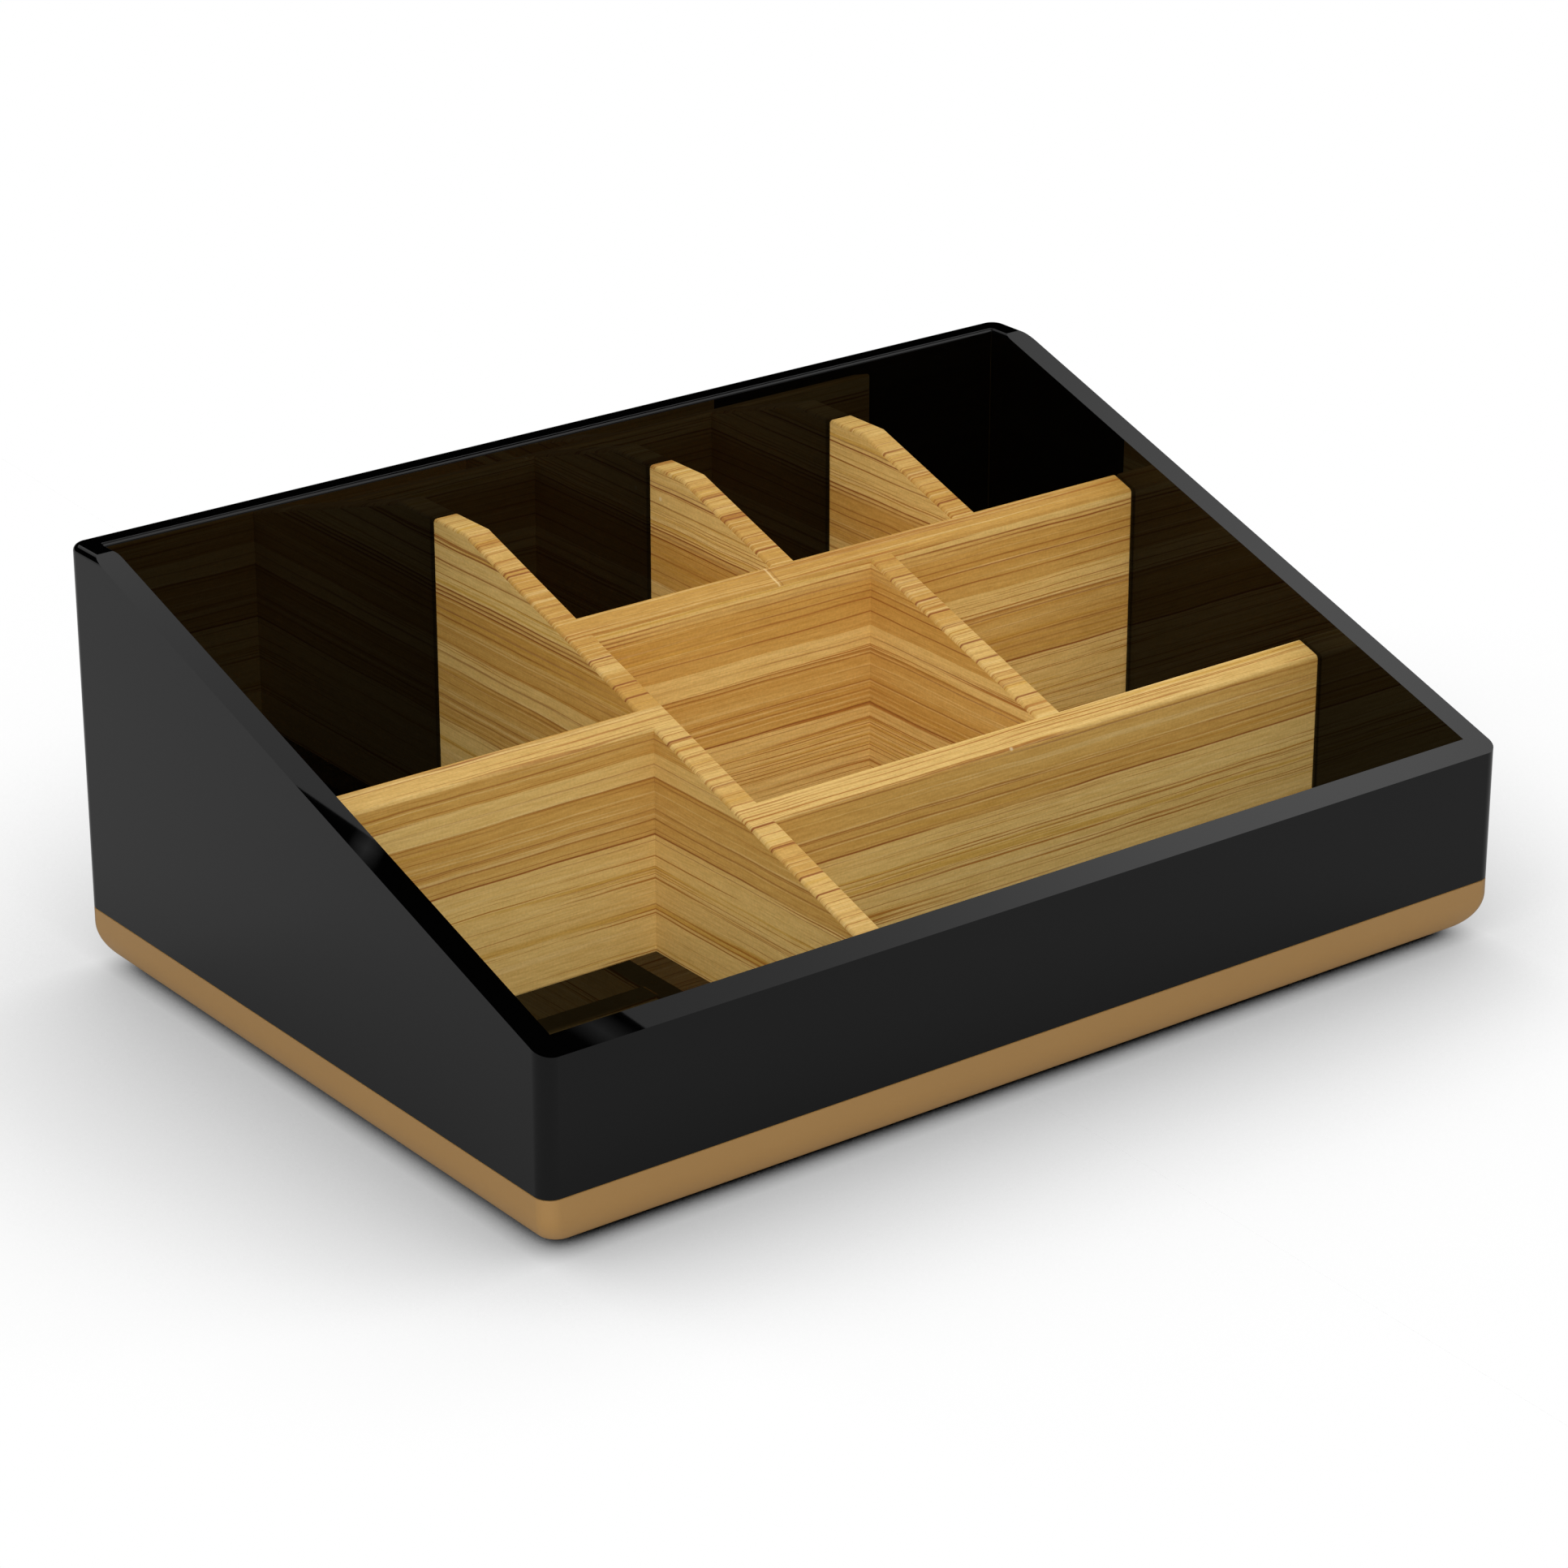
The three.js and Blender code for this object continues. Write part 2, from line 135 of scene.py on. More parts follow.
def mixed(tree, mask, first, second, **settings):
    return add_node(tree, "ShaderNodeMix", settings, Factor=mask, A=first, B=second).outputs["Result"]


def new_group(name, kind, inputs, outputs):
    """A tree with named sockets, listed by their type. Gives the tree, its inputs and its outputs."""
    tree = bpy.data.node_groups.new(name, kind)
    for way, sockets in (("INPUT", inputs), ("OUTPUT", outputs)):
        for socket_type, names in sockets.items():
            for socket in names:
                tree.interface.new_socket(socket, in_out=way, socket_type="NodeSocket" + socket_type)
    return tree, tree.nodes.new("NodeGroupInput").outputs, tree.nodes.new("NodeGroupOutput").inputs


print("node helpers are ready")

# %% [markdown]
# ## A node group for uneven surfaces
#
# No moulded surface is quite even: plastic is a little mottled, rubber is grainy. Each finish could have
# its own noise, but they all need the same thing, a soft mask between 0 and 1 with fine grain over broad
# patches, so it is one shader group, placed in each finish with its own sizes.

# %% Mottle group
mottle_group, given, made = new_group(
    "mottle", "ShaderNodeTree", {"Float": ("Patch Scale", "Grain Scale", "Grain Share")},
    {"Float": ("Mask", "Grain")})
spot = add_node(mottle_group, "ShaderNodeTexCoord").outputs["Object"]
patches = add_node(mottle_group, "ShaderNodeTexNoise", Vector=spot, Detail=3.0,
                   Scale=given["Patch Scale"]).outputs["Fac"]
grain = add_node(mottle_group, "ShaderNodeTexNoise", Vector=spot, Detail=2.0,
                 Scale=given["Grain Scale"]).outputs["Fac"]
plug(mottle_group, made["Mask"], mixed(mottle_group, given["Grain Share"], patches, grain))
plug(mottle_group, made["Grain"], grain)
print("mottle group:", len(mottle_group.nodes), "nodes")

# %% [markdown]
# ## What the finishes share
#
# Every finish is a Principled surface, because that is the one shader that other programs can read. The
# plain ones differ only in their numbers: two tones and two roughnesses that drift with one mottle. A
# copy of the same nodes for each would do, but one function says it once.

# %% Start of a finish
def new_finish(name):
    material = bpy.data.materials.new(name)
    material.use_nodes = True
    return material, material.node_tree, material.node_tree.nodes["Principled BSDF"]


def mottle(tree, patch_scale, grain_scale, grain_share):
    node = add_node(tree, "ShaderNodeGroup", {"node_tree": mottle_group}, Patch_Scale=patch_scale,
                    Grain_Scale=grain_scale, Grain_Share=grain_share)
    return node.outputs["Mask"], node.outputs["Grain"]


def between(tree, mask, low, high):
    return add_node(tree, "ShaderNodeMapRange", Value=mask, To_Min=low, To_Max=high).outputs["Result"]


def colour_mix(tree, mask, first, second, blend_type="MIX"):
    return mixed(tree, mask, first, second, data_type="RGBA", blend_type=blend_type)


def mottled_finish(name, mottle_sizes, dark, light, smooth, rough):
    """A finish whose colour and roughness drift together. Also gives the grain for a bump."""
    material, tree, surface = new_finish(name)
    patch, grain = mottle(tree, *mottle_sizes)
    plug(tree, surface.inputs["Base Color"], colour_mix(tree, patch, dark, light))
    plug(tree, surface.inputs["Roughness"], between(tree, patch, smooth, rough))
    return material, tree, surface, grain


def add_bump(tree, surface, height, strength, depth):
    bump = add_node(tree, "ShaderNodeBump", Strength=strength, Distance=depth, Height=height)
    plug(tree, surface.inputs["Normal"], bump.outputs["Normal"])


print("finish helpers are ready")

# %% [markdown]
# ## Gloss black
#
# The tray is polished black plastic: its own colour is almost nothing, and what the eye sees is the floor
# and the boards mirrored in it. So the finish is a very dark base under a clear, smooth surface. Faint
# handling marks change the roughness a little from place to place, which keeps the mirror from looking
# computed.

# %% Gloss black finish
deep_black = (0.0002, 0.0002, 0.0002, 1)
dusty_black = (0.0006, 0.0006, 0.0006, 1)
gloss_black, tree, surface = new_finish("gloss_black")
marks, dust = mottle(tree, patch_scale=14, grain_scale=900, grain_share=0.25)
plug(tree, surface.inputs["Base Color"], colour_mix(tree, dust, deep_black, dusty_black))
plug(tree, surface.inputs["Roughness"], between(tree, marks, 0.004, 0.012))
surface.inputs["IOR"].default_value = 1.35
print("gloss black:", len(tree.nodes), "nodes")

# %% [markdown]
# ## Satin tan
#
# The base is plain tan plastic with a fine moulded grain and a soft sheen. A bump from the grain alone
# would sparkle at this size, so it is kept low, and the colour and the roughness drift slightly with the
# same mask.

# %% Satin tan finish
deep_tan = (0.320, 0.172, 0.047, 1)
light_tan = (0.372, 0.205, 0.058, 1)
satin_tan, tree, surface, grain = mottled_finish(
    "satin_tan", (30, 1800, 0.35), deep_tan, light_tan, smooth=0.42, rough=0.56)
surface.inputs["IOR"].default_value = 1.6
add_bump(tree, surface, grain, strength=0.05, depth=0.1 * mm)
print("satin tan:", len(tree.nodes), "nodes")

# %% [markdown]
# ## Bamboo: streaks and lines
#
# The boards are cut from one laminated bamboo panel: level layers of plain and pale wood, brown lines
# where layers meet, golden and russet streaks that come in clusters, and very fine fibres. An image of
# bamboo would have to be fitted to every face. A solid pattern needs no fitting: it depends on the
# height, so the layers run on from one board to the next.
#
# A streak is where a noise, stretched far along the board, rises above a level. A line is a narrow band
# round one height. Each is a group, because the finish uses them many times.

# %% Streak group
def vector_node(tree, operation, *values, result="Vector"):
    return math_node(tree, operation, *values, kind="ShaderNodeVectorMath", result=result)


def vector_of(tree, **parts):
    return add_node(tree, "ShaderNodeCombineXYZ", **parts).outputs["Vector"]


def soft_step(tree, value, start, end, first=0.0, last=1.0):
    node = add_node(tree, "ShaderNodeMapRange", {"interpolation_type": "SMOOTHSTEP"}, Value=value,
                    From_Min=start, From_Max=end, To_Min=first, To_Max=last)
    return node.outputs["Result"]


streak_group, given, made = new_group(
    "streaks", "ShaderNodeTree",
    {"Vector": ("Place",), "Float": ("Along", "Across", "Shift", "Level", "Edge")}, {"Float": ("Mask",)})
stretch = vector_of(streak_group, X=given["Along"], Y=given["Along"], Z=given["Across"])
scaled = vector_node(streak_group, "MULTIPLY_ADD", given["Place"], stretch, given["Shift"])
noise = add_node(streak_group, "ShaderNodeTexNoise", Vector=scaled, Scale=1.0, Detail=2.0, Roughness=0.4)
full = math_node(streak_group, "ADD", given["Level"], given["Edge"])
streak = soft_step(streak_group, noise.outputs["Fac"], given["Level"], full)
plug(streak_group, made["Mask"], streak)
print("streak group:", len(streak_group.nodes), "nodes")

# %% Line group
line_group, given, made = new_group(
    "line", "ShaderNodeTree", {"Float": ("Layer", "At", "Half Width")}, {"Float": ("Mask",)})
offset = math_node(line_group, "SUBTRACT", given["Layer"], given["At"])
distance = math_node(line_group, "ABSOLUTE", offset)
line = soft_step(line_group, distance, 0.0, given["Half Width"], first=1.0, last=0.0)
plug(line_group, made["Mask"], line)
print("line group:", len(line_group.nodes), "nodes")

# %% [markdown]
# ## Bamboo: the layers
#
# On the tops the wood is seen from above, and there the depth takes the place of the height. The tops
# could be found from the surface's direction while it is shaded, but a mark on the mesh itself is safer:
# each board carries a face attribute, `on_top`, which is written when the board is made. A slow noise and
# a quicker one let the layers sway, as no strip of bamboo is quite straight.

# %% Bamboo place
bamboo, wood, surface = new_finish("bamboo")


def stretched_noise(vector, along, across, detail):
    scaled = vector_node(wood, "MULTIPLY", vector, (along, along, across))
    return add_node(wood, "ShaderNodeTexNoise", Vector=scaled, Scale=1.0, Detail=detail).outputs["Fac"]


object_place = add_node(wood, "ShaderNodeTexCoord").outputs["Object"]
spot = add_node(wood, "ShaderNodeSeparateXYZ", Vector=object_place).outputs
on_top = add_node(wood, "ShaderNodeAttribute", {"attribute_name": "on_top"}).outputs["Fac"]
level = mixed(wood, on_top, spot["Z"], spot["Y"])
straight = vector_of(wood, X=spot["X"], Y=spot["Y"], Z=level)

# How far the layers sway, and in how many waves a metre along and across the boards.
sways = ((1.6 * mm, 7, 25), (0.9 * mm, 38, 110))
layer = level
for size, along, across in sways:
    sway = math_node(wood, "SUBTRACT", stretched_noise(straight, along, across, 1.0), 0.5)
    layer = math_node(wood, "MULTIPLY_ADD", sway, size, layer)
place = vector_of(wood, X=spot["X"], Y=spot["Y"], Z=layer)
print("sways of the layers:", len(sways))

# %% Bamboo layers
# Lower edge of each layer in mm, by height on the sides and by depth on the tops, and how pale it is.
side_layers = ((0, 0.95), (43.7, 0.25), (46, 0.15), (58.9, 0.9), (65.2, 0.05), (78.2, 0.4), (80.7, 0.95))
top_layers = ((-100, 0.65), (-59.5, 0.1), (-49, 0.75), (-41, 0.8), (-33, 0.35), (-25, 0.65), (4.3, 0.0),
              (18, 0.5), (25, 0.0), (61, 0.4), (76, 0.7))
last_edge = 100


def stepped_tone(layers):
    lowest = layers[0][0]
    share = add_node(wood, "ShaderNodeMapRange", Value=layer, From_Min=lowest * mm, From_Max=last_edge * mm)
    ramp = add_node(wood, "ShaderNodeValToRGB", Fac=share.outputs[0])
    ramp.color_ramp.interpolation = "CONSTANT"
    stops = ramp.color_ramp.elements
    stops.remove(stops[-1])
    for bottom, paleness in layers:
        stop = stops[0] if bottom == lowest else stops.new((bottom - lowest) / (last_edge - lowest))
        stop.color = (paleness, paleness, paleness, 1)
    return add_node(wood, "ShaderNodeSeparateColor", Color=ramp.outputs["Color"]).outputs[0]


pale = mixed(wood, on_top, stepped_tone(side_layers), stepped_tone(top_layers))
print("bamboo layers:", len(side_layers), "on the sides and", len(top_layers), "on the tops")

# %% [markdown]
# ## Bamboo: the lines
#
# Bold lines mark the joints between strips, and fainter ones run inside a strip. They could all come from
# noise, but the eye notices where the strong ones are, so those are listed, and only the thin ones are
# left to chance. Each line fades in and out along the board, which a plain stripe would not do.

# %% Bamboo helpers
# Each kind of streak: waves a metre along and across the board, a shift, where it starts and its soft edge.
streak_kinds = {
    "line_presence": (13, 330, 27.4, 0.36, 0.16),
    "thin_presence": (11, 260, 71.3, 0.44, 0.14),
    "pale": (6, 1700, 3.1, 0.58, 0.08),
    "cluster": (5, 170, 8.3, 0.46, 0.1),
    "golden": (8, 1300, 11.7, 0.57, 0.08),
    "russet": (10, 2500, 44.9, 0.58, 0.05),
    "top_hair": (12, 1500, 63.2, 0.56, 0.07),
    "top_cluster": (9, 210, 17.9, 0.46, 0.1),
}


def streaks(kind):
    along, across, shift, start, edge = streak_kinds[kind]
    node = add_node(wood, "ShaderNodeGroup", {"node_tree": streak_group}, Place=place, Along=along,
                    Across=across, Shift=shift, Level=start, Edge=edge)
    return node.outputs["Mask"]


def line_at(coordinate, at, half_width):
    node = add_node(wood, "ShaderNodeGroup", {"node_tree": line_group}, Layer=coordinate, At=at,
                    Half_Width=half_width)
    return node.outputs["Mask"]


def times(mask, share):
    return math_node(wood, "MULTIPLY", mask, share)


print("kinds of streak:", len(streak_kinds))

# %% Bamboo lines
# Heights of the bold and the faint lines on the sides, and depths of the lines on the tops, in mm.
bold_lines = (92.2, 80.6, 79.4, 78.3, 44)
side_lines = (93.4, 87.8, 74.8, 72.8, 68.8, 62, 58.8, 57.6, 50.3, 47.8)
top_lines = (69.3, 61.3, 59.8, 46.6, 25, 14.7, 9.6, 4.3, -3.4, -7.4, -9.8, -20, -25.2, -41, -49, -59.5,
             -66, -74)
bold_half = 0.4 * mm
faint_half = 0.36 * mm
top_half = 0.5 * mm
faint_share = 0.65

# How many thin lines there are in a metre, their half width as a share of the gap, and their strength.
thin_per_metre = 260.0
thin_half = 0.05
thin_share = 0.75


def all_lines(places, half_width):
    mask = line_at(layer, places[0] * mm, half_width)
    for at in places[1:]:
        mask = math_node(wood, "MAXIMUM", mask, line_at(layer, at * mm, half_width))
    return mask


faint = times(all_lines(side_lines, faint_half), faint_share)
on_sides = math_node(wood, "MAXIMUM", all_lines(bold_lines, bold_half), faint)
drawn = mixed(wood, on_top, on_sides, all_lines(top_lines, top_half))
drawn = times(drawn, between(wood, streaks("line_presence"), 0.2, 0.95))
cells = add_node(wood, "ShaderNodeTexVoronoi", {"voronoi_dimensions": "1D", "feature": "DISTANCE_TO_EDGE"},
                 Scale=thin_per_metre, W=layer)
thin = soft_step(wood, cells.outputs["Distance"], 0.0, thin_half, first=thin_share, last=0.0)
thin = times(thin, streaks("thin_presence"))
print("bamboo lines:", len(bold_lines) + len(side_lines), "on the sides and", len(top_lines), "on the tops")

# %% [markdown]
# ## Bamboo: the colour
#
# The colour is laid on in coats, as a painter would grain a panel: the layers first, then broad and fine
# variation, then streaks and lines over it. Mixing everything in one step would need one large formula.
# In coats, each effect has its own mask and its own tint, and can be changed alone.

# %% Bamboo coats
plain_wood = (0.630, 0.356, 0.084, 1)
pale_wood = (0.830, 0.575, 0.208, 1)
broad_share = 0.7
broad = stretched_noise(place, 5, 160, 1.0)
fibre = stretched_noise(place, 160, 2600, 2.0)
hair = stretched_noise(place, 9, 1500, 2.0)
mottled = stretched_noise(object_place, 1500, 1500, 1.0)
tone = math_node(wood, "ADD", pale, times(math_node(wood, "SUBTRACT", broad, 0.5), broad_share))
cluster = between(wood, streaks("cluster"), 0.1, 1.0)
golden = times(streaks("golden"), times(cluster, between(wood, pale, 0.25, 0.6)))
russet = times(streaks("russet"), times(cluster, between(wood, pale, 0.3, 0.9)))
top_hairs = times(streaks("top_hair"), times(on_top, streaks("top_cluster")))

# Each coat: its mask, its tint and how it blends.
coats = (
    (between(wood, hair, -0.4, 1.2), (0.900, 0.850, 0.760, 1), "MULTIPLY"),
    (times(streaks("pale"), 0.5), (0.830, 0.590, 0.250, 1), "MIX"),
    (golden, (0.610, 0.330, 0.030, 1), "MIX"),
    (russet, (0.420, 0.150, 0.016, 1), "MIX"),
    (thin, (0.370, 0.120, 0.014, 1), "MIX"),
    (times(top_hairs, 0.65), (0.400, 0.135, 0.016, 1), "MIX"),
    (drawn, (0.280, 0.070, 0.012, 1), "MIX"),
    (between(wood, fibre, -0.8, 1.8), (0.850, 0.810, 0.710, 1), "MULTIPLY"),
    (between(wood, mottled, -0.8, 1.8), (0.890, 0.890, 0.860, 1), "MULTIPLY"),
)
colour = colour_mix(wood, tone, plain_wood, pale_wood)
for mask, tint, blend_type in coats:
    colour = colour_mix(wood, mask, colour, tint, blend_type)
print("bamboo coats:", len(coats))

# %% [markdown]
# ## Bamboo: a node and a few flecks
#
# A bamboo cane has nodes, the rings where leaves grew. One of them crosses the top of the rear board as a
# pale line, and a dark line beside it is painted as the node's shade. A few tiny pale flecks lie in the
# wood. Both are too few for a noise, so the node has its own place, and the flecks are the middles of large
# Voronoi cells.

# %% Bamboo node and flecks
node_depth = 36 * mm
node_reach = 14 * mm
node_bend = 2 * mm
node_place = math_node(wood, "MULTIPLY_ADD", broad, node_bend, spot["X"])
on_rear_top = times(on_top, line_at(layer, node_depth, node_reach))
# The dark line beside the node's pale line is painted shade.
node_painted_shade = times(line_at(node_place, 22.6 * mm, 0.4 * mm), on_rear_top)
pale_node = times(line_at(node_place, 21.6 * mm, 0.5 * mm), on_rear_top)
flecks = add_node(wood, "ShaderNodeTexVoronoi", Vector=object_place, Scale=30.0)
fleck = add_node(wood, "ShaderNodeMapRange", Value=flecks.outputs["Distance"], From_Min=0.012,
                 From_Max=0.022, To_Min=0.55, To_Max=0.0).outputs[0]
# The first coat is the node's painted shade, the second its pale line, the third the flecks.
for mask, tint in ((times(node_painted_shade, 0.6), (0.300, 0.130, 0.030, 1)),
                   (times(pale_node, 0.65), (0.880, 0.660, 0.320, 1)),
                   (fleck, (0.860, 0.720, 0.440, 1))):
    colour = colour_mix(wood, mask, colour, tint)
plug(wood, surface.inputs["Base Color"], colour)
plug(wood, surface.inputs["Roughness"], between(wood, fibre, 0.42, 0.62))
surface.inputs["IOR"].default_value = 1.35
add_bump(wood, surface, fibre, strength=0.12, depth=0.1 * mm)
print("bamboo:", len(wood.nodes), "nodes")

# %% [markdown]
# ## Foot rubber and screw steel
#
# Feet and screws are underneath, so they are only seen when the tray is turned over. A flat colour would
# pass unnoticed in the photo's view, but they still get a grain of their own: soft black rubber, and zinc
# plated steel with a slightly uneven sheen.

# %% Foot rubber and screw steel finishes
dark_rubber = (0.012, 0.012, 0.012, 1)
worn_rubber = (0.024, 0.023, 0.022, 1)
foot_rubber, tree, surface, grain = mottled_finish(
    "foot_rubber", (120, 2600, 0.5), dark_rubber, worn_rubber, smooth=0.75, rough=0.95)
add_bump(tree, surface, grain, strength=0.25, depth=0.2 * mm)

dull_zinc = (0.42, 0.42, 0.43, 1)
bright_zinc = (0.62, 0.62, 0.63, 1)
screw_steel, tree, surface, grain = mottled_finish(
    "screw_steel", (300, 3200, 0.4), dull_zinc, bright_zinc, smooth=0.28, rough=0.46)
surface.inputs["Metallic"].default_value = 1.0
print("finishes:", [finish.name for finish in (gloss_black, satin_tan, bamboo, foot_rubber, screw_steel)])

# %% [markdown]
# ## Lofted forms
#
# Tray and base are both rounded boxes whose outline changes with height. They could be cut from blocks
# with Booleans, but the rounds would come out uneven. Instead each is a stack of rings with the same
# number of points, joined by quads, which runs over the rim from one closed end to the other.

# %% Rings and lofts
corner_steps = 12


def turns(steps):
    return [pi / 2 * i / steps for i in range(steps + 1)]


def corner_arc(x, y, radius, start):
    return [(x + radius * cos(start + turn), y + radius * sin(start + turn)) for turn in turns(corner_steps)]


def tray_ring(inset, radius, z):
    x = half_width - inset - radius
    y = half_depth - inset - radius
    corners = [(x, y, 0), (-x, y, pi / 2), (-x, -y, pi), (x, -y, 1.5 * pi)]
    return [(px, py, z) for cx, cy, start in corners for px, py in corner_arc(cx, cy, radius, start)]


def quarter(radius, steps):
    """Steps along a quarter round: how far across, and how far along."""
    return [(radius * (1 - cos(turn)), radius * sin(turn)) for turn in turns(steps)]


def loft(rings):
    form = bmesh.new()
    rows = [[form.verts.new(point) for point in ring] for ring in rings]
    count = len(rows[0])
    for low, high in zip(rows, rows[1:]):
        for i in range(count):
            form.faces.new((low[i], low[(i + 1) % count], high[(i + 1) % count], high[i]))
    form.faces.new(reversed(rows[0]))
    form.faces.new(rows[-1])
    bmesh.ops.recalc_face_normals(form, faces=form.faces)
    return form


print("points in a ring:", len(tray_ring(0, corner_radius, 0)))

# %% [markdown]
# ## From form to piece
#
# A form becomes a piece when it has a mesh, a finish and true normals. Smooth shading alone would bend
# the reflections near every edge, which a polished tray shows at once. So sharp edges stay sharp, a
# Weighted Normal modifier lets the flat faces rule the rounds beside them, and the result becomes a plain
# mesh, because the export wants nothing live.

# %% Piece helpers
sharp_from = radians(12)


def keep_flats_flat(mesh):
    """Rounds shade smoothly, and flat faces stay true mirrors."""
    mesh.shade_smooth()
    mesh.set_sharp_from_angle(angle=sharp_from)


def finished(name, form, material):
    mesh = bpy.data.meshes.new(name)
    form.to_mesh(mesh)
    form.free()
    keep_flats_flat(mesh)
    mesh.materials.append(material)
    piece = bpy.data.objects.new(name, mesh)
    bpy.context.scene.collection.objects.link(piece)
    return piece


def settle(piece):
    """Turns what the modifiers make into the piece's own plain mesh."""
    depsgraph = bpy.context.evaluated_depsgraph_get()
    depsgraph.update()
    mesh = bpy.data.meshes.new_from_object(piece.evaluated_get(depsgraph), depsgraph=depsgraph)
    piece.modifiers.clear()
    old = piece.data
    piece.data = mesh
    bpy.data.meshes.remove(old)


def true_flats(piece):
    modifier = piece.modifiers.new("true_flats", "WEIGHTED_NORMAL")
    modifier.keep_sharp = True
    modifier.weight = 100
    settle(piece)


print("edges stay sharp from %.0f degrees" % (sharp_from * 180 / pi))

# %% [markdown]
# ## The tray
#
# Upright walls with a small round on the top edge, a ledge near the floor that carries the boards, and a
# post in each corner for the screws. Under the seam a stepped spigot goes down into the base. The walls
# could be drawn with their slanted rim from the start, but one straight cut through the finished walls
# gives a flatter face and crisper edges. It starts at the back, where the flat top ends, and falls to the
# low front.

# %% Tray sizes
outer_round = 1.7 * mm
inner_round = 1.0 * mm
inner_corner = 0.1 * mm
ledge_width = 4 * mm
ledge_height = 5.9 * mm
post = 8.4 * mm
post_corner = 1.5 * mm
post_steps = 10
spigot_drop = 2.9 * mm
upper_spigot = 3.7 * mm
lower_spigot = 7.2 * mm
spigot_corner = 0.6 * mm
edge_ease = 0.1 * mm
tray_floor = floor_bottom + floor_thickness
ledge = tray_floor + ledge_height
spigot_step = ledge - spigot_drop
tray_bottom = seam + seam_line
print("ledge at %.1f mm, tray floor at %.1f mm" % (1000 * ledge, 1000 * tray_floor))

# %% Tray rings
def well_ring(z):
    """The outline between floor and ledge, which goes round a post in each corner."""
    x = half_width - wall - ledge_width
    y = half_depth - wall - ledge_width
    ring = []
    for sx, sy in ((1, 1), (-1, 1), (-1, -1), (1, -1)):
        side = (sx * x, sy * (y - post))
        back = (sx * (x - post), sy * y)
        cx = sx * (x - post + post_corner)
        cy = sy * (y - post + post_corner)
        bend = [(cx - sx * post_corner * sin(turn), cy - sy * post_corner * cos(turn))
                for turn in turns(post_steps)]
        steps = [side, *bend, back]
        ring += steps if sx * sy > 0 else reversed(steps)
    return [(px, py, z) for px, py in ring]


rings = [
    tray_ring(lower_spigot, spigot_corner, floor_bottom),
    tray_ring(lower_spigot, spigot_corner, spigot_step),
    tray_ring(upper_spigot, spigot_corner, spigot_step),
    tray_ring(upper_spigot, spigot_corner, tray_bottom),
    tray_ring(edge_ease, corner_radius - edge_ease, tray_bottom),
    tray_ring(0, corner_radius, tray_bottom + edge_ease),
]
rings += [tray_ring(across, corner_radius - across, rim_top - outer_round + along)
          for across, along in quarter(outer_round, steps=10)]
rings += [tray_ring(wall - across, inner_corner + across, rim_top - inner_round + along)
          for across, along in reversed(quarter(inner_round, steps=8))]
rings += [tray_ring(wall, inner_corner, ledge), well_ring(ledge), well_ring(tray_floor)]
print("tray rings:", len(rings))

# %% Tray
form = loft(rings)
bmesh.ops.bisect_plane(
    form, geom=form.verts[:] + form.edges[:] + form.faces[:], clear_outer=True,
    plane_co=(0, -half_depth, front_rim), plane_no=(0, -sin(rim_angle), cos(rim_angle)))
bmesh.ops.contextual_create(form, geom=[edge for edge in form.edges if edge.is_boundary])
bmesh.ops.recalc_face_normals(form, faces=form.faces)
print("tray closed:", all(edge.is_manifold for edge in form.edges), "faces:", len(form.faces))

tray_shell = finished("tray_shell", form, gloss_black)
true_flats(tray_shell)
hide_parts("outer_shell")
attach(tray_shell, "tray")

# %% [markdown]
# ## The base
#
# A shallow tan tray with a large round along its bottom edge. The tray's spigot sits in its pocket, so
# the two meet in a thin dark line. Its top edge is eased a little, because that edge catches the light
# just under the line. The recesses for feet and screws are cut with a Boolean, as round holes in a flat
# face are what it does well.

# %% Base form
base_round = 11 * mm
base_ease = 0.15 * mm
spigot_play = 0.3 * mm
pocket_floor = floor_bottom - 0.1 * mm
pocket_step = spigot_step - spigot_play
pocket_corner = spigot_corner + spigot_play

rings = [
    tray_ring(lower_spigot - spigot_play, pocket_corner, pocket_floor),
    tray_ring(lower_spigot - spigot_play, pocket_corner, pocket_step),
    tray_ring(upper_spigot - spigot_play, pocket_corner, pocket_step),
    tray_ring(upper_spigot - spigot_play, pocket_corner, seam),
]
rings += [tray_ring(across, corner_radius - across, seam - base_ease + along)
          for across, along in reversed(quarter(base_ease, steps=4))]
rings += [tray_ring(across, corner_radius, base_bottom + base_round - along)
          for across, along in quarter(base_round, steps=24)]
tray_base = finished("tray_base", loft(rings), satin_tan)
print("base rings:", len(rings))

# %% Base recesses
foot_low, foot_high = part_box("foot_front_right")
screw_low, screw_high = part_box("screw_front_right")
foot_x, foot_y = [(foot_low[i] + foot_high[i]) / 2 for i in (0, 1)]
screw_x, screw_y = [(screw_low[i] + screw_high[i]) / 2 for i in (0, 1)]
foot_recess = 8.2 * mm
foot_recess_top = foot_high[2] + 0.1 * mm
screw_recess = 3.2 * mm
screw_recess_top = base_bottom + 1.6 * mm

form = bmesh.new()
for x, y, radius, top in ((foot_x, foot_y, foot_recess, foot_recess_top),
                          (screw_x, screw_y, screw_recess, screw_recess_top)):
    for sx, sy in ((1, 1), (-1, 1), (-1, -1), (1, -1)):
        drum = bmesh.ops.create_cone(form, cap_ends=True, segments=64, radius1=radius, radius2=radius,
                                     depth=2 * top)
        bmesh.ops.translate(form, verts=drum["verts"], vec=(sx * x, sy * y, 0))
recesses = finished("recesses", form, satin_tan)
boolean = tray_base.modifiers.new("recesses", "BOOLEAN")
boolean.object = recesses
boolean.solver = "EXACT"
settle(tray_base)
bpy.data.objects.remove(recesses)
keep_flats_flat(tray_base.data)
true_flats(tray_base)
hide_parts("base_tray")
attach(tray_base, "tray")
print("base faces:", len(tray_base.data.polygons))

